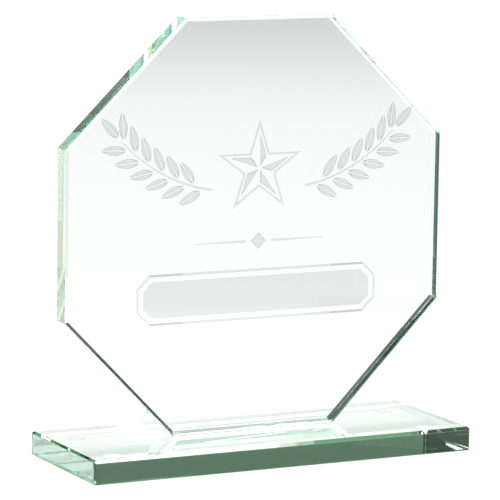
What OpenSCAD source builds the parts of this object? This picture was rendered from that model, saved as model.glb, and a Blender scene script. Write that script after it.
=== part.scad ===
// Octagon award in jade glass: an upright eight-sided plate, bonded by one of its edges to a slab base
// that stands on four clear bumper feet. Nothing on it moves.
// Millimetres. X runs along the base to the right, Y to the back and Z up.
// The origin is under the middle of the base, on the surface that the feet stand on.

/* [Octagon plate] */
// Width between the plate's two upright edges
plate_w = 172; // [140:1:240]
// Height from the bonded bottom edge to the top edge
plate_h = 171; // [140:1:240]
// Thickness of the sheet that the plate is cut from
plate_t = 10; // [8:0.5:19]
// Run of each upper corner cut along the top edge
upper_cut_w = 52; // [30:0.5:60]
// Drop of each upper corner cut along the upright edge
upper_cut_h = 51; // [30:0.5:60]
// Run of each lower corner cut along the bottom edge
lower_cut_w = 49; // [30:0.5:60]
// Rise of each lower corner cut along the upright edge
lower_cut_h = 50; // [30:0.5:60]
// Leg of the 45 degree arris ground along the plate's rims
plate_arris = 1.1; // [0.5:0.1:2.5]

/* [Base slab] */
// How far the base reaches past each of the plate's upright edges
base_reach = 0; // [-5:0.5:20]
// Depth of the base from front to back
base_d = 63.5; // [58:0.5:100]
// Thickness of the sheet that the base is cut from
base_t = 10; // [8:0.5:19]
// Leg of the arris along the base's upper front and back rims
side_arris = 1.3; // [0.5:0.1:2.5]
// Leg of the arris along the upper rims of the base's two ends
end_arris = 0.8; // [0.3:0.1:2]
// Leg of the finer arris along the rims of the base's underside
under_arris = 0.4; // [0.2:0.1:1.5]
// Leg of the arris down the base's four upright corners
corner_arris = 0.7; // [0.3:0.1:2]
// How far the plate stands behind the middle of the base
plate_setback = 2.5; // [-8:0.5:8]

/* [Bond] */
// Thickness of the cured adhesive between the plate and the base
bond_t = 0.2; // [0.1:0.05:0.5]
// How far the adhesive stays back from the rim of the plate's bottom edge
bond_margin = 0.2; // [0:0.1:1]

/* [Bumper feet] */
// Diameter of a foot
foot_dia = 8; // [6:0.5:12]
// Height of a foot without its adhesive disc
foot_h = 1.5; // [1:0.1:4]
// Radius of the foot's rounded lower rim
foot_round = 0.6; // [0.2:0.1:0.9]
// Clear distance from the base's edges to a foot
foot_inset = 10; // [4:0.5:15]
// Thickness of the adhesive disc on top of a foot
disc_t = 0.15; // [0.1:0.05:0.5]
// How far the adhesive disc stays back from the foot's rim
disc_margin = 0.3; // [0:0.1:1]

/* [Hidden] */

// Length of the base
base_w = plate_w + 2 * base_reach;

// Heights of the stack, from the table up
base_z = foot_h + disc_t;
bond_z = base_z + base_t;
plate_z = bond_z + bond_t;

// Outline of the plate seen from the front, counter-clockwise from the left end of its bottom edge
plate_outline = [
    [lower_cut_w - plate_w / 2, 0],
    [plate_w / 2 - lower_cut_w, 0],
    [plate_w / 2, lower_cut_h],
    [plate_w / 2, plate_h - upper_cut_h],
    [plate_w / 2 - upper_cut_w, plate_h],
    [upper_cut_w - plate_w / 2, plate_h],
    [-plate_w / 2, plate_h - upper_cut_h],
    [-plate_w / 2, lower_cut_h]
];
plate_arrises = [for (corner = plate_outline) plate_arris];

// Outline of the base seen from above, counter-clockwise from the left end of its front edge
base_outline = [
    [corner_arris - base_w / 2, -base_d / 2],
    [base_w / 2 - corner_arris, -base_d / 2],
    [base_w / 2, corner_arris - base_d / 2],
    [base_w / 2, base_d / 2 - corner_arris],
    [base_w / 2 - corner_arris, base_d / 2],
    [corner_arris - base_w / 2, base_d / 2],
    [-base_w / 2, base_d / 2 - corner_arris],
    [-base_w / 2, corner_arris - base_d / 2]
];
half_base_arrises = [side_arris, corner_arris, end_arris, corner_arris];
upper_arrises = concat(half_base_arrises, half_base_arrises);
lower_arrises = [for (corner = base_outline) under_arris];

// The adhesive fills the flat of the plate's bottom edge, between its two arrises
bond_w = plate_w - 2 * lower_cut_w - 2 * bond_margin;
bond_d = plate_t - 2 * plate_arris - 2 * bond_margin;

// Each foot's name and the side of the base that it is on, along X and along Y
foot_spots = [
    ["front_left", -1, -1],
    ["front_right", 1, -1],
    ["back_left", -1, 1],
    ["back_right", 1, 1]
];
foot_r = foot_dia / 2;
foot_x = base_w / 2 - foot_inset - foot_r;
foot_y = base_d / 2 - foot_inset - foot_r;
disc_r = foot_r - disc_margin;

glass_green = [0.72, 0.88, 0.79, 0.55];
bond_clear = [0.90, 0.95, 0.92, 0.60];
rubber_clear = [0.86, 0.90, 0.90, 0.60];
disc_clear = [0.94, 0.94, 0.90, 0.60];

$fn = 64;

// All that lies on the inner side of one edge of a sheet: the edge's own flat, between two 45 degree arrises
module inside_edge(start, end, thickness, lower, upper, reach) {
    run = end - start;
    translate([start.x, start.y, 0])
        rotate([0, 0, atan2(run.y, run.x)])
            rotate([90, 0, 90])
                translate([0, 0, -reach])
                    linear_extrude(norm(run) + 2 * reach)
                        polygon([
                            [0, lower],
                            [0, thickness - upper],
                            [reach, thickness - upper + reach],
                            [reach, lower - reach]
                        ]);
}

// Sheet of glass lying on Z = 0, cut to an outline, with the lower and the upper rim of every edge ground to an arris
module ground_sheet(outline, thickness, lower, upper) {
    count = len(outline);
    reach = 2 * max([for (corner = outline) norm(corner)]);
    intersection() {
        translate([-reach, -reach, 0]) cube([2 * reach, 2 * reach, thickness]);
        intersection_for (i = [0 : count - 1])
            inside_edge(outline[i], outline[(i + 1) % count], thickness, lower[i], upper[i], reach);
    }
}

// Upright plate, standing on its bottom edge
module octagon_plate() {
    color(glass_green)
        translate([0, plate_setback + plate_t / 2, plate_z])
            rotate([90, 0, 0])
                ground_sheet(plate_outline, plate_t, plate_arrises, plate_arrises);
}

// Slab that carries the plate
module base_slab() {
    color(glass_green)
        translate([0, 0, base_z])
            ground_sheet(base_outline, base_t, lower_arrises, upper_arrises);
}

// Layer of clear adhesive, cured between the plate's bottom edge and the top of the base
module bond_film() {
    color(bond_clear)
        translate([-bond_w / 2, plate_setback - bond_d / 2, bond_z])
            cube([bond_w, bond_d, bond_t]);
}

// Round clear bumper with a rounded lower rim and a flat sole
module foot(spot) {
    color(rubber_clear)
        translate([spot[1] * foot_x, spot[2] * foot_y, 0])
            rotate_extrude() {
                square([foot_r - foot_round, foot_h]);
                translate([0, foot_round]) square([foot_r, foot_h - foot_round]);
                intersection() {
                    translate([foot_r - foot_round, foot_round]) circle(foot_round);
                    square([foot_r, foot_h]);
                }
            }
}

// Adhesive disc that holds a bumper to the underside of the base
module foot_disc(spot) {
    color(disc_clear)
        translate([spot[1] * foot_x, spot[2] * foot_y, foot_h])
            cylinder(r = disc_r, h = disc_t);
}

octagon_plate();
base_slab();
bond_film();
for (spot = foot_spots) {
    foot(spot);
    foot_disc(spot);
}
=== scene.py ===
import math

import bmesh
import bpy
from mathutils import Matrix, Vector


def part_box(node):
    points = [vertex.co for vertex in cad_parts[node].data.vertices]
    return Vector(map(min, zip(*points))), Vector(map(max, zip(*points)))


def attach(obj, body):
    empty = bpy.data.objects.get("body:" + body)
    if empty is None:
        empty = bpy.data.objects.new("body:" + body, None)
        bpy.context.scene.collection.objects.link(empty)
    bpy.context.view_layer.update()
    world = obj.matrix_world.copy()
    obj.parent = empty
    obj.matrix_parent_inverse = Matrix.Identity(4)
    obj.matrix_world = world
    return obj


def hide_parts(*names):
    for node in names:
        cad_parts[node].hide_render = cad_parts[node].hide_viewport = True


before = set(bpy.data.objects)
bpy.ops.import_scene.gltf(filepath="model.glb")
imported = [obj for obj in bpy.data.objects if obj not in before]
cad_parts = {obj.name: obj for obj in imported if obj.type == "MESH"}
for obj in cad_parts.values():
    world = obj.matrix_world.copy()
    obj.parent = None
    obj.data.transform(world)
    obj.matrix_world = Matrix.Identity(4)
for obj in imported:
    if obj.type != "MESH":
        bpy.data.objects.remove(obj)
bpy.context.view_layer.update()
scene = bpy.context.scene


# Base slab.
# A length of 10 mm green float glass laid flat: its four edges are ground straight and polished, and every
# rim is taken off by a 45 degree arris. The plate is bonded to its top, and bumper feet are stuck under it.
MM = 0.001
GLASS_IOR = 1.52
glass_tint = "#00BC89"
glass_tint_per_metre = 4.5
# Painted shade: the darker green given to the slab's long edges and the ends' upper rims
edge_shade_green = "#556D59"
rim_break = 0.12 * MM


def linear(colour):
    """An sRGB hex colour as linear red, green, blue and alpha."""
    values = [int(colour[i:i + 2], 16) / 255 for i in (1, 3, 5)]
    return [v / 12.92 if v <= 0.04045 else ((v + 0.055) / 1.055) ** 2.4 for v in values] + [1.0]


def add_node(tree, kind, inputs=None, **settings):
    """Adds a node with its settings; an input is a value, or the socket that feeds it."""
    node = tree.nodes.new(kind)
    for name, value in settings.items():
        setattr(node, name, value)
    for name, value in (inputs or {}).items():
        if isinstance(value, bpy.types.NodeSocket):
            tree.links.new(value, node.inputs[name])
        else:
            node.inputs[name].default_value = value
    return node


def new_material(name):
    """An empty node material and its output node."""
    material = bpy.data.materials.new(name)
    material.use_nodes = True
    material.node_tree.nodes.clear()
    return material, add_node(material.node_tree, "ShaderNodeOutputMaterial")


def add_piece(name, mesh, material):
    """Links a mesh as a piece that sits at the origin."""
    piece = bpy.data.objects.new(name, mesh)
    scene.collection.objects.link(piece)
    mesh.materials.clear()
    mesh.materials.append(material)
    return piece


def polished_sheet(node, name, shade_long_edges=False):
    """The CAD sheet as a mesh of whole faces, with its sharp edges broken by the polisher."""
    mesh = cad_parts[node].data.copy()
    mesh.name = name
    shape = bmesh.new()
    shape.from_mesh(mesh)
    bmesh.ops.remove_doubles(shape, verts=shape.verts, dist=0.001 * MM)
    bmesh.ops.dissolve_limit(shape, angle_limit=math.radians(0.5), verts=shape.verts, edges=shape.edges)
    bmesh.ops.bevel(shape, geom=shape.edges[:], offset=rim_break, segments=2, profile=0.5, affect="EDGES")
    bmesh.ops.recalc_face_normals(shape, faces=shape.faces)
    for face in shape.faces:
        face.smooth = False
    # Painted shade: these faces, the long edges and the ends' upper rims, get the darker green
    if shade_long_edges:
        painted_edge_shade = shape.faces.layers.float.new("painted_edge_shade")
        for face in shape.faces:
            back_edge = face.normal.y > 0.6
            front_edge = face.normal.y < -0.6 and face.normal.z < 0.1
            end_rim = abs(face.normal.y) < 0.1 and 0.3 < face.normal.z < 0.9
            face[painted_edge_shade] = float(back_edge or front_edge or end_rim)
    mesh.clear_geometry()
    shape.to_mesh(mesh)
    shape.free()
    return mesh


def float_glass(name):
    """Polished green float glass, greener the further light has run in it, and its shader node."""
    material, output = new_material(name)
    tree = material.node_tree
    glass = add_node(tree, "ShaderNodeBsdfPrincipled", {
        "Base Color": linear("#FFFFFF"), "Roughness": 0.0, "IOR": GLASS_IOR, "Transmission Weight": 1.0})
    tinted = add_node(tree, "ShaderNodeVolumeAbsorption", {
        "Color": linear(glass_tint), "Density": glass_tint_per_metre})
    tree.links.new(glass.outputs["BSDF"], output.inputs["Surface"])
    tree.links.new(tinted.outputs["Volume"], output.inputs["Volume"])
    return material, glass


# Painted shade: the long edges and the ends' upper rims get a darker green base colour, which stands in
# for light that has run far in the glass
slab_glass, slab_shader = float_glass("green_float_glass_slab")
tree = slab_glass.node_tree
painted_edge_shade = add_node(tree, "ShaderNodeAttribute", attribute_name="painted_edge_shade").outputs["Fac"]
edge_shade_mix = add_node(tree, "ShaderNodeMix", {
    0: painted_edge_shade, 6: linear("#FFFFFF"), 7: linear(edge_shade_green)}, data_type="RGBA")
tree.links.new(edge_shade_mix.outputs[2], slab_shader.inputs["Base Color"])
slab_mesh = polished_sheet("base_slab", "polished_base_slab", shade_long_edges=True)
base_slab = add_piece("polished_base_slab", slab_mesh, slab_glass)
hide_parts("base_slab")
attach(base_slab, "root")


# Adhesive discs.
# A round of clear pressure-sensitive adhesive on top of each bumper foot, pressed to the slab's underside.
# It wets the glass and the foot, so it reaches a hair into each and light passes from one to the other.
WETTING = 0.02 * MM
bubble_patch = 1.5 * MM
corners = ("front_left", "front_right", "back_left", "back_right")


def geometry_tree(name, inputs):
    """An empty geometry node tree with named inputs, and the key of each input."""
    tree = bpy.data.node_groups.new(name, "GeometryNodeTree")
    tree.interface.new_socket("Geometry", in_out="INPUT", socket_type="NodeSocketGeometry")
    keys = {}
    for label, kind in inputs.items():
        keys[label] = tree.interface.new_socket(label, in_out="INPUT", socket_type=kind).identifier
    tree.interface.new_socket("Geometry", in_out="OUTPUT", socket_type="NodeSocketGeometry")
    return tree, keys


def grow(name, seed_mesh, tree, keys, values):
    """Runs a geometry node tree on a mesh and gives what it makes as a plain mesh."""
    seed = bpy.data.objects.new(name + "_seed", seed_mesh)
    scene.collection.objects.link(seed)
    maker = seed.modifiers.new(name, "NODES")
    maker.node_group = tree
    for label, value in values.items():
        maker[keys[label]] = value
    grown = bpy.data.meshes.new_from_object(seed.evaluated_get(bpy.context.evaluated_depsgraph_get()))
    grown.name = name
    bpy.data.objects.remove(seed)
    return grown


# Acrylic adhesive is as clear as the glass, with a faint haze in patches where fine bubbles were trapped
acrylic, acrylic_out = new_material("clear_acrylic_adhesive")
tree = acrylic.node_tree
place = add_node(tree, "ShaderNodeTexCoord").outputs["Object"]
bubbles = add_node(tree, "ShaderNodeTexNoise", {"Vector": place, "Scale": 1 / bubble_patch, "Detail": 3.0})
haze = add_node(tree, "ShaderNodeMapRange", {
    "Value": bubbles.outputs["Fac"], "From Min": 0.55, "From Max": 0.75, "To Min": 0.0, "To Max": 0.06})
clear = add_node(tree, "ShaderNodeBsdfPrincipled", {
    "Base Color": linear("#FFFFFF"), "IOR": GLASS_IOR, "Transmission Weight": 1.0,
    "Roughness": haze.outputs["Result"]})
tree.links.new(clear.outputs["BSDF"], acrylic_out.inputs["Surface"])

disc_low, disc_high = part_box("foot_disc_front_left")
disc_sizes = {
    "Radius": (disc_high.x - disc_low.x) / 2, "Thickness": disc_high.z - disc_low.z + 2 * WETTING,
    "Material": acrylic}
disc_tree, disc_keys = geometry_tree("disc_under_each_corner", {
    "Radius": "NodeSocketFloat", "Thickness": "NodeSocketFloat", "Material": "NodeSocketMaterial"})
given = add_node(disc_tree, "NodeGroupInput").outputs
round_disc = add_node(disc_tree, "GeometryNodeMeshCylinder", {
    "Vertices": 64, "Radius": given["Radius"], "Depth": given["Thickness"]})
spread = add_node(disc_tree, "GeometryNodeInstanceOnPoints", {
    "Points": given["Geometry"], "Instance": round_disc.outputs["Mesh"]})
real = add_node(disc_tree, "GeometryNodeRealizeInstances", {"Geometry": spread.outputs["Instances"]})
coated = add_node(disc_tree, "GeometryNodeSetMaterial", {
    "Geometry": real.outputs["Geometry"], "Material": given["Material"]})
add_node(disc_tree, "NodeGroupOutput", {"Geometry": coated.outputs["Geometry"]})
disc_spots = bpy.data.meshes.new("disc_spots")
disc_spots.from_pydata(
    [sum(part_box("foot_disc_" + corner), Vector()) / 2 for corner in corners], [], [])
disc_mesh = grow("adhesive_foot_discs", disc_spots, disc_tree, disc_keys, disc_sizes)
foot_discs = add_piece("adhesive_foot_discs", disc_mesh, acrylic)
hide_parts(*("foot_disc_" + corner for corner in corners))
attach(foot_discs, "root")


# Bumper feet.
# Four clear cast polyurethane bumpers, 8 mm across, with a rounded lower rim and a flat sole. The modelled
# feet stay, and get the soft plastic's look: clear, faintly hazy, with a fine ripple in its skin.
URETHANE_IOR = 1.5
skin_grain = 0.8 * MM
ripple_depth = 0.05 * MM
urethane, urethane_out = new_material("clear_cast_polyurethane")
tree = urethane.node_tree
place = add_node(tree, "ShaderNodeTexCoord").outputs["Object"]
skin = add_node(tree, "ShaderNodeTexNoise", {"Vector": place, "Scale": 1 / skin_grain, "Detail": 3.0})
haze = add_node(tree, "ShaderNodeMapRange", {
    "Value": skin.outputs["Fac"], "From Min": 0.3, "From Max": 0.7, "To Min": 0.05, "To Max": 0.16})
ripple = add_node(tree, "ShaderNodeBump", {
    "Height": skin.outputs["Fac"], "Strength": 0.15, "Distance": ripple_depth})
soft = add_node(tree, "ShaderNodeBsdfPrincipled", {
    "Base Color": linear("#FFFFFF"), "IOR": URETHANE_IOR, "Transmission Weight": 1.0,
    "Roughness": haze.outputs["Result"], "Normal": ripple.outputs["Normal"]})
tree.links.new(soft.outputs["BSDF"], urethane_out.inputs["Surface"])
for corner in corners:
    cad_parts["foot_" + corner].material_slots[0].material = urethane


# Bond film.
# A thin layer of the same clear acrylic, cured by ultraviolet light between the plate's bottom edge and the
# slab. It wets both pieces of glass as the discs do, so the joint is nearly invisible.
film_low, film_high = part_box("bond_film")
film_middle = (film_low + film_high) / 2
film_size = film_high - film_low + Vector((0, 0, 2 * WETTING))
film_mesh = bpy.data.meshes.new("cured_bond_film")
film = bmesh.new()
bmesh.ops.create_cube(film, size=1.0)
bmesh.ops.transform(
    film, matrix=Matrix.Translation(film_middle) @ Matrix.Diagonal((*film_size, 1.0)), verts=film.verts)
film.to_mesh(film_mesh)
film.free()
bond_film = add_piece("cured_bond_film", film_mesh, acrylic)
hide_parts("bond_film")
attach(bond_film, "root")


# Octagon plate.
# The upright plate, cut to eight sides from the same 10 mm glass and polished all round. A traditional
# emblem is sand-carved in its front: laurel sprays beside a star, a rule with a diamond, and a plain bar in
# a frame.
# Frost grey; on the carve's rims and walls it is painted shade
frosted_and_rim_shade_grey = "#A6A6A6"
frost_roughness = 0.03
carve_depth = 0.05 * MM

# Where sand has carved it, the glass is finely frosted: a little rough, and greyer than the polish round it.
# At full strength, on the carve's rims and walls, the grey is painted shade.
plate_glass, plate_shader = float_glass("green_float_glass_plate")
tree = plate_glass.node_tree
carved = add_node(tree, "ShaderNodeAttribute", attribute_name="carved").outputs["Fac"]
frost = add_node(tree, "ShaderNodeMath", {0: carved, 1: frost_roughness}, operation="MULTIPLY")
frost_and_rim_shade_mix = add_node(tree, "ShaderNodeMix", {
    0: carved, 6: linear("#FFFFFF"), 7: linear(frosted_and_rim_shade_grey)}, data_type="RGBA")
tree.links.new(frost.outputs[0], plate_shader.inputs["Roughness"])
tree.links.new(frost_and_rim_shade_mix.outputs[2], plate_shader.inputs["Base Color"])
plate_mesh = polished_sheet("octagon_plate", "polished_octagon_plate")
octagon_plate = add_piece("polished_octagon_plate", plate_mesh, plate_glass)
plate_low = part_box("octagon_plate")[0]
carve_front = plate_low.y - carve_depth
carve_back = plate_low.y + carve_depth


def carve_prism(shape, outline, hole=None):
    """Adds a closed prism across the plate's front, from an outline in mm: x, height over its bottom."""
    loops = []
    for points in (outline, hole) if hole else (outline,):
        sides = []
        for y in (carve_front, carve_back):
            sides.append([shape.verts.new((x * MM, y, plate_low.z + z * MM)) for x, z in points])
        loops.append(sides)
    for front, back in loops:
        for i in range(len(front)):
            j = (i + 1) % len(front)
            shape.faces.new((front[i], front[j], back[j], back[i]))
    for side in (0, 1):
        if hole:
            outer, inner = loops[0][side], loops[1][side]
            for i in range(len(outer)):
                j = (i + 1) % len(outer)
                shape.faces.new((outer[i], outer[j], inner[j], inner[i]))
        else:
            shape.faces.new(loops[0][side])


def star_points(middle, radius):
    """A five-point star's ten corners, from its top."""
    waist = 0.382
    points = []
    for i in range(10):
        reach = radius * (waist if i % 2 else 1.0)
        points.append((reach * math.sin(i * math.pi / 5), middle + reach * math.cos(i * math.pi / 5)))
    return points


def cut_corner_bar(middle, width, height, cut):
    """A bar's outline with its four corners cut."""
    w, h = width / 2, height / 2
    outline = (
        (cut - w, -h), (w - cut, -h), (w, cut - h), (w, h - cut),
        (w - cut, h), (cut - w, h), (-w, h - cut), (-w, cut - h))
    return [(x, middle + z) for x, z in outline]


emblem = bmesh.new()

# The star: a band round it, and one half of each of its points frosted
star_height = 109.0
star_radius = 15.0
band_inside = star_radius + 2.2
band_outside = star_radius + 5.0
facet_share = 0.9
carve_prism(emblem, star_points(star_height, band_outside), star_points(star_height, band_inside))
corners_of_star = star_points(star_height, star_radius)
for i in range(0, 10, 2):
    facet = [(0.0, star_height), corners_of_star[i], corners_of_star[i + 1]]
    middle = [sum(c) / 3 for c in zip(*facet)]
    shrunk = [tuple(m + facet_share * (c - m) for c, m in zip(corner, middle)) for corner in facet]
    carve_prism(emblem, shrunk)

# The rule with a diamond, and the bar in its frame
rule_height = 79.0
rule_from, rule_to = 6.0, 30.0
rule_thick, rule_thin = 0.6, 0.2
diamond = 3.4
carve_prism(emblem, [
    (-diamond, rule_height), (0, rule_height - diamond), (diamond, rule_height), (0, rule_height + diamond)])
half_rule = (
    (rule_from, -rule_thick), (rule_to, -rule_thin), (rule_to, rule_thin), (rule_from, rule_thick))
for hand in (-1, 1):
    carve_prism(emblem, [(hand * x, rule_height + z) for x, z in half_rule])
bar_height = 57.0
bar = cut_corner_bar(bar_height, 104.0, 15.0, 4.0)
frame_inside = cut_corner_bar(bar_height, 108.0, 19.0, 5.15)
frame_outside = cut_corner_bar(bar_height, 110.0, 21.0, 5.75)
carve_prism(emblem, bar)
carve_prism(emblem, frame_outside, frame_inside)

# The sprays: a tapering stem on an arc, with a leaf to each side in turn and one at its tip
bend_x, bend_height, bend_radius = 10.0, 172.0, 72.0
stem_from, stem_to = 9.0, 46.5
stem_half_width, stem_taper, stem_steps = 0.55, 0.3, 12
leaf_length, leaf_width, leaf_rib, leaf_gap = 12.0, 4.0, 0.5, 1.5
for hand in (-1, 1):
    outer, inner = [], []
    for i in range(stem_steps + 1):
        angle = math.radians(stem_from + (stem_to - stem_from) * i / stem_steps)
        half = stem_half_width - stem_taper * i / stem_steps
        for side, radius in ((outer, bend_radius + half), (inner, bend_radius - half)):
            side.append((hand * (bend_x + radius * math.sin(angle)), bend_height - radius * math.cos(angle)))
    carve_prism(emblem, outer + inner[::-1])

leaf_mesh = bpy.data.meshes.new("laurel_leaf")
leaf = bmesh.new()
for hand in (-1, 1):
    edge = []
    for i in range(1, 10):
        along = i / 10
        bulge = math.sin(math.pi * along ** 0.85)
        edge.append((hand * leaf_width / 2 * bulge, leaf_gap + leaf_length * along))
    rib = [(hand * leaf_rib / 2, leaf_gap + leaf_length * along) for along in (0.95, 0.05)]
    carve_prism(leaf, edge + rib)
bmesh.ops.translate(leaf, verts=leaf.verts, vec=(0.0, 0.0, -plate_low.z))
leaf.to_mesh(leaf_mesh)
leaf.free()
spray_tree, spray_keys = geometry_tree("leaves_along_a_stem", {
    "Leaves": "NodeSocketInt", "Hand": "NodeSocketFloat", "Bend X": "NodeSocketFloat",
    "Bend Z": "NodeSocketFloat", "Bend Radius": "NodeSocketFloat", "First": "NodeSocketFloat",
    "Step": "NodeSocketFloat", "Lean": "NodeSocketFloat", "Material": "NodeSocketMaterial"})
given = add_node(spray_tree, "NodeGroupInput").outputs
count = add_node(spray_tree, "GeometryNodeInputIndex").outputs["Index"]
angle = add_node(spray_tree, "ShaderNodeMath", {
    0: count, 1: given["Step"], 2: given["First"]}, operation="MULTIPLY_ADD").outputs[0]
sine = add_node(spray_tree, "ShaderNodeMath", {0: angle}, operation="SINE").outputs[0]
cosine = add_node(spray_tree, "ShaderNodeMath", {0: angle}, operation="COSINE").outputs[0]
out = add_node(spray_tree, "ShaderNodeMath", {
    0: sine, 1: given["Bend Radius"], 2: given["Bend X"]}, operation="MULTIPLY_ADD").outputs[0]
across = add_node(spray_tree, "ShaderNodeMath", {0: out, 1: given["Hand"]}, operation="MULTIPLY").outputs[0]
drop = add_node(spray_tree, "ShaderNodeMath", {
    0: cosine, 1: given["Bend Radius"]}, operation="MULTIPLY").outputs[0]
height = add_node(spray_tree, "ShaderNodeMath", {
    0: given["Bend Z"], 1: drop}, operation="SUBTRACT").outputs[0]
spot = add_node(spray_tree, "ShaderNodeCombineXYZ", {"X": across, "Z": height}).outputs[0]
heading = add_node(spray_tree, "ShaderNodeMath", {0: angle, 1: given["Lean"]}, operation="ADD").outputs[0]
tilt = add_node(spray_tree, "ShaderNodeMath", {0: math.pi / 2, 1: heading}, operation="SUBTRACT").outputs[0]
turn = add_node(spray_tree, "ShaderNodeMath", {0: tilt, 1: given["Hand"]}, operation="MULTIPLY").outputs[0]
turned = add_node(spray_tree, "ShaderNodeCombineXYZ", {"Y": turn}).outputs[0]
nodes_on_stem = add_node(spray_tree, "GeometryNodePoints", {"Count": given["Leaves"], "Position": spot})
spread = add_node(spray_tree, "GeometryNodeInstanceOnPoints", {
    "Points": nodes_on_stem.outputs[0], "Instance": given["Geometry"], "Rotation": turned})
real = add_node(spray_tree, "GeometryNodeRealizeInstances", {"Geometry": spread.outputs["Instances"]})
coated = add_node(spray_tree, "GeometryNodeSetMaterial", {
    "Geometry": real.outputs["Geometry"], "Material": given["Material"]})
add_node(spray_tree, "NodeGroupOutput", {"Geometry": coated.outputs["Geometry"]})
leaf_step = 6.0
leaf_lean = 40.0
for hand in (-1.0, 1.0):
    for leaves, first, lean in ((6, 12.0, -leaf_lean), (6, 15.0, leaf_lean), (1, stem_to, 0.0)):
        emblem.from_mesh(grow("laurel_leaves", leaf_mesh, spray_tree, spray_keys, {
            "Leaves": leaves, "Hand": hand, "Bend X": bend_x * MM, "Bend Z": plate_low.z + bend_height * MM,
            "Bend Radius": bend_radius * MM, "First": math.radians(first), "Step": math.radians(leaf_step),
            "Lean": math.radians(lean), "Material": plate_glass}))

# The blast cuts the emblem into the front, and leaves its floor and walls frosted
bmesh.ops.recalc_face_normals(emblem, faces=emblem.faces)
frosted = emblem.faces.layers.float.new("carved")
for face in emblem.faces:
    face[frosted] = 1.0
    face.material_index = 0
emblem_mesh = bpy.data.meshes.new("emblem_stencil")
emblem.to_mesh(emblem_mesh)
emblem.free()
octagon_plate.data.attributes.new("carved", "FLOAT", "FACE")
stencil = add_piece("emblem_stencil", emblem_mesh, plate_glass)
blast = octagon_plate.modifiers.new("blast", "BOOLEAN")
blast.operation = "DIFFERENCE"
blast.solver = "EXACT"
blast.object = stencil
carved_mesh = bpy.data.meshes.new_from_object(
    octagon_plate.evaluated_get(bpy.context.evaluated_depsgraph_get()))
octagon_plate.modifiers.remove(blast)
bpy.data.objects.remove(stencil)
octagon_plate.data = carved_mesh
carved_mesh.name = "polished_octagon_plate"

# A small floor is paler inside a darker rim, whose grey is painted shade standing in for the carve's walls
rim_width = 0.3 * MM
rim_limit = 4.0 * MM
floor_share = 0.6
etched = bmesh.new()
etched.from_mesh(carved_mesh)
frosted = etched.faces.layers.float["carved"]
floors = [face for face in etched.faces if face[frosted] > 0.5 and face.normal.y < -0.999]
for face in floors:
    face[frosted] = floor_share
    breadth = 2 * face.calc_area() / face.calc_perimeter()
    if 3 * rim_width < breadth < rim_limit:
        middle = face.calc_center_median()
        for rim in bmesh.ops.inset_individual(etched, faces=[face], thickness=0.0)["faces"]:
            rim[frosted] = 1.0
        for corner in face.verts:
            corner.co = middle + (corner.co - middle) * (1 - rim_width / breadth)
etched.to_mesh(carved_mesh)
etched.free()
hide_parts("octagon_plate")
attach(octagon_plate, "root")


# Studio.
# A white sweep that goes on past the picture: it is plain white to the camera, and the glass shows it white
# near the award and greyer with distance. Sizes here are in metres, and none of it is part of the award.
floor_radius = 6.0
floor_white = 0.88
floor_glow = 1.25
floor_shadow_tone = "#959595"


def draw_curve(node, points):
    """Draws a curve node's line through points of input and output, from its first to its last."""
    curve = node.mapping.curves[0]
    curve.points[0].location = points[0]
    curve.points[1].location = points[-1]
    for point in points[1:-1]:
        curve.points.new(*point)
    node.mapping.update()


floor_mesh = bpy.data.meshes.new("studio_floor")
disc = bmesh.new()
bmesh.ops.create_circle(disc, cap_ends=True, radius=floor_radius, segments=96)
disc.to_mesh(floor_mesh)
disc.free()
paper, paper_out = new_material("white_sweep_paper")
tree = paper.node_tree
rays = add_node(tree, "ShaderNodeLightPath").outputs
spot = add_node(tree, "ShaderNodeTexCoord").outputs["Object"]
reach = add_node(tree, "ShaderNodeVectorMath", {0: spot}, operation="LENGTH").outputs["Value"]
share = add_node(tree, "ShaderNodeMath", {0: reach, 1: floor_radius}, operation="DIVIDE").outputs[0]
falloff = add_node(tree, "ShaderNodeFloatCurve", {"Value": share})
draw_curve(falloff, (
    (0.0, 1.0), (0.03, 1.0), (0.07, 0.85), (0.11, 0.82), (0.18, 0.79), (0.207, 0.775), (0.26, 0.70),
    (0.31, 0.616), (0.363, 0.556), (0.5, 0.44), (1.0, 0.25)))
glow = add_node(tree, "ShaderNodeMath", {
    0: falloff.outputs[0], 1: floor_glow}, operation="MULTIPLY").outputs[0]
white = add_node(tree, "ShaderNodeEmission", {"Strength": floor_white})
matte = add_node(tree, "ShaderNodeBsdfDiffuse", {"Color": linear(floor_shadow_tone)})
seen = add_node(tree, "ShaderNodeAddShader", {0: white.outputs[0], 1: matte.outputs[0]})
light = add_node(tree, "ShaderNodeEmission", {"Strength": glow})
pick = add_node(tree, "ShaderNodeMixShader", {
    0: rays["Is Camera Ray"], 1: light.outputs[0], 2: seen.outputs[0]})
tree.links.new(pick.outputs[0], paper_out.inputs["Surface"])
floor = add_piece("studio_floor", floor_mesh, paper)
floor.location.z = -0.05 * MM

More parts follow.
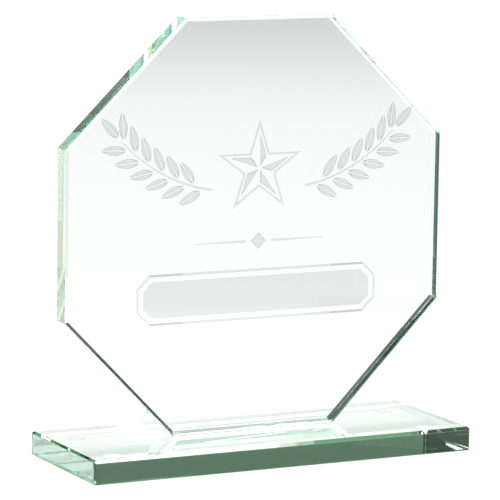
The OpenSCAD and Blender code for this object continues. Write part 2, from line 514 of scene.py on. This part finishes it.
# Painted shadow: a glowing card under the slab, seen only through the glass, stands in for the paper in its
# shade: white along the front, green in the plate's shade, and paler again to the back
paper_in_shade = "#509066"
paper_in_light = "#FAFFFC"
slab_low, slab_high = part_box("base_slab")
shade, shade_out = new_material("painted_shadow_under_the_slab")
tree = shade.node_tree
place = add_node(tree, "ShaderNodeTexCoord").outputs["Object"]
inward = add_node(tree, "ShaderNodeSeparateXYZ", {0: place}).outputs["Y"]
share = add_node(tree, "ShaderNodeMapRange", {
    "Value": inward, "From Min": slab_low.y, "From Max": slab_high.y}).outputs["Result"]
dimming = add_node(tree, "ShaderNodeFloatCurve", {"Value": share})
draw_curve(dimming, (
    (0.0, 1.0), (0.28, 1.0), (0.32, 0.7), (0.36, 0.0), (0.42, 0.0), (0.5, 0.15), (0.58, 0.4), (0.69, 0.5),
    (1.0, 0.6)))
dim = add_node(tree, "ShaderNodeMix", {
    0: dimming.outputs[0], 6: linear(paper_in_shade), 7: linear(paper_in_light)}, data_type="RGBA")
shaded = add_node(tree, "ShaderNodeEmission", {"Color": dim.outputs[2], "Strength": 1.0})
tree.links.new(shaded.outputs[0], shade_out.inputs["Surface"])
shade_mesh = bpy.data.meshes.new("painted_shadow_under_the_slab")
shade_mesh.from_pydata([
    (slab_low.x, slab_low.y, 0.0), (slab_high.x, slab_low.y, 0.0), (slab_high.x, slab_high.y, 0.0),
    (slab_low.x, slab_high.y, 0.0)], [], [(0, 1, 2, 3)])
under_slab = add_piece("painted_shadow_under_the_slab", shade_mesh, shade)
under_slab.visible_camera = False
under_slab.visible_diffuse = False
under_slab.visible_shadow = False

# The room is plain white to the camera, and to the glass dim at the horizon and brightest overhead
world = bpy.data.worlds.new("studio")
scene.world = world
world.use_nodes = True
tree = world.node_tree
tree.nodes.clear()
world_out = add_node(tree, "ShaderNodeOutputWorld")
rays = add_node(tree, "ShaderNodeLightPath").outputs
toward = add_node(tree, "ShaderNodeTexCoord").outputs["Generated"]
rise = add_node(tree, "ShaderNodeSeparateXYZ", {0: toward}).outputs["Z"]
dome = add_node(tree, "ShaderNodeFloatCurve", {"Value": rise})
draw_curve(dome, ((0.0, 0.5), (0.07, 0.85), (0.3, 0.9), (0.7, 0.9), (0.9, 1.2), (1.0, 1.2)))
sky = add_node(tree, "ShaderNodeBackground", {"Strength": dome.outputs[0]})
plain = add_node(tree, "ShaderNodeBackground", {"Strength": 1.0})
pick = add_node(tree, "ShaderNodeMixShader", {
    0: rays["Is Camera Ray"], 1: sky.outputs[0], 2: plain.outputs[0]})
tree.links.new(pick.outputs[0], world_out.inputs["Surface"])

# Painted sheen: seen below the first of these angles, a low-angle strip glows in full, and above the second
# not at all
FULL_GLOW_BELOW = math.radians(13.3)
NO_GLOW_ABOVE = math.radians(17.5)


def card(name, corners, glow, top_glow=None, mirrored=0, glows_low=False):
    """A card that only the glass shows, from its two lower and two upper corners, glowing up to top_glow.

    A mirrored one shows only in light that the glass has mirrored at least that often, so that it tones an
    edge and isn't seen straight through the glass. A low-angle one shows in mirrored light and, as painted
    sheen, when seen at a low angle.
    """
    material, output = new_material(name)
    tree = material.node_tree
    place = add_node(tree, "ShaderNodeTexCoord").outputs["Object"]
    height = add_node(tree, "ShaderNodeSeparateXYZ", {0: place}).outputs["Z"]
    share = add_node(tree, "ShaderNodeMapRange", {
        "Value": height, "From Min": corners[0].z, "From Max": corners[2].z})
    blend = add_node(tree, "ShaderNodeMix", {
        0: share.outputs["Result"], 6: (*glow, 1.0), 7: (*(top_glow or glow), 1.0)}, data_type="RGBA")
    shine = add_node(tree, "ShaderNodeEmission", {"Color": blend.outputs[2], "Strength": 1.0})
    surface = shine.outputs[0]
    if mirrored or glows_low:
        bounces = add_node(tree, "ShaderNodeLightPath").outputs["Glossy Depth"]
        if mirrored:
            shown = add_node(tree, "ShaderNodeMath", {
                0: bounces, 1: mirrored - 0.5}, operation="GREATER_THAN")
        else:
            # Painted sheen: the strip glows in full only when seen at a low angle
            facing = add_node(tree, "ShaderNodeLayerWeight", {"Blend": 0.5}).outputs["Facing"]
            low_angle_share = add_node(tree, "ShaderNodeMapRange", {
                "Value": facing, "From Min": 1 - math.sin(NO_GLOW_ABOVE), "From Max": 1 - math.sin(FULL_GLOW_BELOW)})
            shown = add_node(tree, "ShaderNodeMath", {
                0: low_angle_share.outputs["Result"], 1: bounces}, operation="ADD", use_clamp=True)
        clear = add_node(tree, "ShaderNodeBsdfTransparent")
        surface = add_node(tree, "ShaderNodeMixShader", {
            0: shown.outputs[0], 1: clear.outputs[0], 2: surface}).outputs[0]
    tree.links.new(surface, output.inputs["Surface"])
    mesh = bpy.data.meshes.new(name)
    mesh.from_pydata(corners, [], [(0, 1, 2, 3)])
    piece = add_piece(name, mesh, material)
    piece.visible_camera = False
    piece.visible_diffuse = False
    piece.visible_shadow = False


def grey(level):
    """A neutral glow."""
    return (level, level, level)


def upright(azimuth, distance, width, bottom, top, start=(0.0, 0.0)):
    """Corners of a card on a stand that faces a start point; azimuth 0 is straight behind that point."""
    toward = Vector((math.sin(math.radians(azimuth)), math.cos(math.radians(azimuth)), 0.0))
    side = Vector((toward.y, -toward.x, 0.0)) * width / 2
    middle = Vector((*start, 0.0)) + toward * distance
    places = ((-1, bottom), (1, bottom), (1, top), (-1, top))
    return [middle + side * hand + Vector((0, 0, height)) for hand, height in places]


def lying(start, end, width, height=0.0002):
    """Corners of a strip of paper on the floor, from one point to another."""
    first, last = Vector((*start, height)), Vector((*end, height))
    along = (last - first).normalized()
    side = Vector((along.y, -along.x, 0.0)) * width / 2
    return [first - side, first + side, last + side, last - side]


# Behind the award: a bright window with a lamp above it, between darker cards
card("window_back", upright(25.5, 1.5, 0.50, 0.10, 0.80), grey(1.4))
card("lamp_back", upright(31.2, 1.5, 0.262, 1.08, 1.5), (6.0, 4.6, 5.5))
card("fill_back_lamp_side", upright(36.5, 1.49, 0.0187, 1.08, 1.5), (3.4, 2.85, 2.95))
card("fill_back_lamp_far", upright(37.2, 1.49, 0.0177, 1.08, 1.5), (1.95, 2.0, 1.93))
card("fill_back_right", upright(39.3, 1.5, 0.108, 1.08, 1.5), (0.68, 1.13, 0.82))
card("flag_back", upright(-4.5, 1.5, 0.95, 0.13, 1.5), (0.11, 0.15, 0.12), (0.06, 0.09, 0.07))
card("flag_back_left", upright(-38.5, 1.5, 0.89, 0.13, 2.1), (0.28, 0.42, 0.33), (0.10, 0.14, 0.12))
card("fill_back_left_high", upright(-36.76, 1.49, 0.006, 1.27, 1.30), (14.0, 8.5, 12.0))

# Behind it too, one above the other: the dashes of white and green that the slab's left end mirrors
for name, bottom, top, glow in (
        ("fill_rim_green_1", 0.6315, 0.6370, (0.4, 2.4, 0.8)),
        ("fill_rim_white_1", 0.6370, 0.6455, grey(9.0)),
        ("fill_rim_green_2", 0.6455, 0.6490, (0.4, 2.4, 0.8)),
        ("fill_rim_white_2", 0.6612, 0.6634, grey(9.0)),
        ("fill_rim_green_3", 0.6634, 0.6730, (0.4, 2.0, 0.7))):
    card(name, upright(-15.9, 1.52, 0.05, bottom, top), glow, mirrored=1)

# Beside the award and behind it: grey cards, and brighter and darker strips on the floor, for the plate's
# edges
card("flag_back_right", upright(47.0, 1.0, 0.08, 0.11, 0.20, (-0.0615, 0.0075)), (0.06, 0.065, 0.06))
card("flag_front_right", upright(156.0, 0.048, 0.056, 0.030, 0.0555, (0.0615, 0.0025)),
     grey(0.33), grey(0.53), mirrored=1)
card("fill_floor_back_left", lying((-0.297, 0.484), (-0.540, 1.030), 0.05), (4.2, 4.1, 3.7), mirrored=1)
card("fill_floor_near_left", lying((-0.215, 0.300), (-0.297, 0.484), 0.05), (3.9, 4.0, 3.6), mirrored=1)
card("flag_floor_front_right", lying((0.230, -0.330), (0.520, -0.980), 0.06), grey(0.30), mirrored=2)
# Painted shadow: this dark strip stands in for the award's shadow on the floor to its right
card("flag_floor_right", lying((0.115, 0.036), (0.205, 0.090), 0.036), (0.25, 0.27, 0.25), mirrored=1)
card("flag_floor_right_front", lying((0.146, -0.050), (0.160, -0.062), 0.010), grey(0.20), mirrored=1)
card("flag_floor_back_right", lying((0.310, 0.300), (0.870, 0.726), 0.08), (0.88, 0.88, 0.86))

# Behind and under the slab: glowing strips, a hair above the paper, for the bars and streaks in its top.
# They are painted reflections and shade, standing in for the plate's reflections in the slab.
for name, start, end, width, height, glow in (
        ("fill_floor_left", (-0.030, 0.034), (-0.063, 0.155), 0.04, 0.0002, grey(2.2)),
        ("fill_under_plate", (-0.034, 0.0085), (0.040, 0.0085), 0.008, 0.0002, grey(1.35)),
        ("flag_under_plate", (-0.036, -0.00075), (0.040, -0.00075), 0.0105, 0.0002, (0.22, 0.63, 0.38)),
        ("fill_under_front", (-0.041, -0.010), (0.036, -0.010), 0.008, 0.0002, (0.42, 0.62, 0.50)),
        ("fill_under_left", (-0.0335, 0.011), (-0.0495, -0.014), 0.009, 0.0003, (1.2, 1.5, 1.33)),
        ("fill_under_left_bar", (-0.0305, 0.012), (-0.048, -0.0155), 0.004, 0.0004, grey(1.5)),
        ("fill_under_right", (0.043, 0.013), (0.037, -0.012), 0.0035, 0.0004, grey(1.6)),
        ("fill_under_streak_left", (-0.056, 0.0055), (-0.0385, 0.0016), 0.0012, 0.0005, grey(2.4)),
        ("fill_under_streak", (-0.0235, -0.0041), (0.0165, 0.0015), 0.0012, 0.0005, grey(2.4)),
        ("fill_under_streak_right", (0.0275, -0.0016), (0.038, 0.0046), 0.0012, 0.0005, grey(1.5)),
        ("fill_under_back", (-0.033, 0.013), (-0.042, 0.036), 0.010, 0.0002, grey(2.6)),
        ("fill_floor_behind", (-0.066, 0.0435), (-0.054, 0.0470), 0.003, 0.0002, grey(2.4))):
    card(name, lying(start, end, width, height), glow, glows_low=True)

# Round the slab: what its ends and front edge show, and dark strips for lines in the plate's upright edges
bright_wedge = ((-10.6, 176.75, 41.3), (-24.2, 176.75, 45.9), (-17.6, 176.75, 47.2), (-10.1, 176.75, 43.1))
card("fill_behind_left", [Vector(corner) * MM for corner in bright_wedge], (16.0, 9.0, 14.0), mirrored=2)
card("fill_floor_end", lying((-0.099, -0.035), (-0.099, 0.062), 0.010), (1.65, 1.05, 1.30), mirrored=1)
# Painted shadow: a greenish strip along the slab's right end stands in for its shade on the floor there
card("flag_floor_end", lying((0.0893, -0.034), (0.0893, 0.034), 0.0096), (0.67, 0.88, 0.70))
card("flag_under_end", lying((0.0793, -0.031), (0.0793, 0.031), 0.0016), (0.35, 0.40, 0.30), mirrored=1)
# Painted shadow: a darker strip along the slab's front stands in for its contact shade on the floor
card("flag_floor_front", lying((-0.090, -0.057), (0.090, -0.057), 0.046), (0.45, 0.50, 0.47))
card("flag_floor_left", lying((-0.095, 0.300), (-0.500, 1.010), 0.016), (0.012, 0.075, 0.04), mirrored=1)
card("flag_floor_far_left", lying((-0.300, 0.030), (-1.150, 0.075), 0.02), (0.03, 0.105, 0.07), mirrored=1)
card("flag_behind_right", upright(-41.4, 0.030, 0.006, 0.057, 0.132, (0.0849, 0.0075)),
     (0.012, 0.075, 0.04), mirrored=1)
card("flag_floor_far_front", lying((-0.300, -0.030), (-1.000, -0.150), 0.03), (0.35, 0.42, 0.38), mirrored=1)
card("fill_back_left", upright(-47.9, 1.45, 0.10, 0.385, 0.455), grey(2.4))

# All round: dark cards and a dark strip that break up the light in the plate's edges
card("flag_above_right", upright(0.0, 0.21, 0.052, 0.176, 0.224, (-0.02, 0.0)),
     (0.05, 0.09, 0.07), mirrored=1)
card("flag_back_high", upright(-10.5, 1.47, 0.12, 0.81, 0.93), (0.01, 0.03, 0.02), mirrored=1)
card("flag_floor_mirrored", lying((0.070, -0.050), (0.255, -0.300), 0.05), (0.10, 0.12, 0.11), mirrored=2)
card("flag_front_left", upright(-167.4, 1.0, 0.14, 0.54, 0.65, (0.06, 0.0)), grey(0.05), mirrored=1)
card("flag_left_high", upright(-109.0, 0.65, 0.25, 0.80, 1.15), (0.05, 0.08, 0.06), mirrored=1)
card("flag_left", upright(-62.0, 1.5, 0.25, 0.15, 0.45), (0.05, 0.09, 0.07), mirrored=1)

# Above and behind: what the upper left edge mirrors, from grey to green glass with two prism streaks in it
for name, bottom, top, glow, top_glow in (
        ("flag_mirrored", 0.3655, 0.3934, grey(0.0), grey(0.38)),
        ("fill_mirrored_green_1", 0.3934, 0.4005, (2.1, 3.8, 2.7), None),
        ("fill_mirrored_blue_1", 0.4005, 0.4024, (1.5, 2.5, 3.5), None),
        ("fill_mirrored_white_1", 0.4024, 0.4055, (6.0, 6.2, 5.8), None),
        ("fill_mirrored_yellow_1", 0.4055, 0.4075, (4.6, 4.9, 3.3), None),
        ("fill_mirrored_green_2", 0.4075, 0.4185, (1.7, 3.0, 2.2), (2.2, 3.9, 2.8)),
        ("fill_mirrored_blue_2", 0.4185, 0.4204, (1.5, 2.5, 3.5), None),
        ("fill_mirrored_white_2", 0.4204, 0.4235, (6.0, 6.2, 5.8), None),
        ("fill_mirrored_green_3", 0.4235, 0.4400, (2.1, 3.8, 2.7), None)):
    card(name, upright(-5.6, 0.5, 0.085, bottom, top, (-0.06, 0.0025)), glow, top_glow, mirrored=1)

# A softbox in front, high to the left, for the award's faint shadow
softbox = bpy.data.lights.new("softbox", "AREA")
softbox.shape = "RECTANGLE"
softbox.size = 1.2
softbox.size_y = 0.9
softbox.energy = 14.0
softbox_place = bpy.data.objects.new("softbox", softbox)
scene.collection.objects.link(softbox_place)
softbox_place.location = (-0.5, -0.6, 1.5)
softbox_place.rotation_euler = (-softbox_place.location).to_track_quat("-Z", "Y").to_euler()
softbox_place.visible_camera = False


# Camera.
# A long lens at the photograph's viewing angle, turned a little about its own axis. The glass needs many
# bounces, because light runs to and fro between its edges before it leaves.
azimuth, elevation, roll = (math.radians(angle) for angle in (-27.091, 8.676, 0.889))
aim = Vector((-2.472, 0.0, 86.727)) * MM
distance = 1370.4 * MM
back = Vector((
    math.sin(azimuth) * math.cos(elevation), -math.cos(azimuth) * math.cos(elevation), math.sin(elevation)))
right = Vector((math.cos(azimuth), math.sin(azimuth), 0.0))
up = back.cross(right)
turned_right = math.cos(roll) * right + math.sin(roll) * up
turned_up = math.cos(roll) * up - math.sin(roll) * right
lens = bpy.data.cameras.new("camera")
lens.sensor_width = 36.0
lens.lens = 240.31
lens.clip_start = 0.01
lens.clip_end = 50.0
camera = bpy.data.objects.new("camera", lens)
scene.collection.objects.link(camera)
camera.matrix_world = Matrix((
    (turned_right.x, turned_up.x, back.x, aim.x + distance * back.x),
    (turned_right.y, turned_up.y, back.y, aim.y + distance * back.y),
    (turned_right.z, turned_up.z, back.z, aim.z + distance * back.z),
    (0.0, 0.0, 0.0, 1.0)))
scene.camera = camera

scene.view_settings.view_transform = "Standard"
glass_bounces = 48
scene.cycles.max_bounces = glass_bounces
scene.cycles.glossy_bounces = glass_bounces
scene.cycles.transmission_bounces = glass_bounces
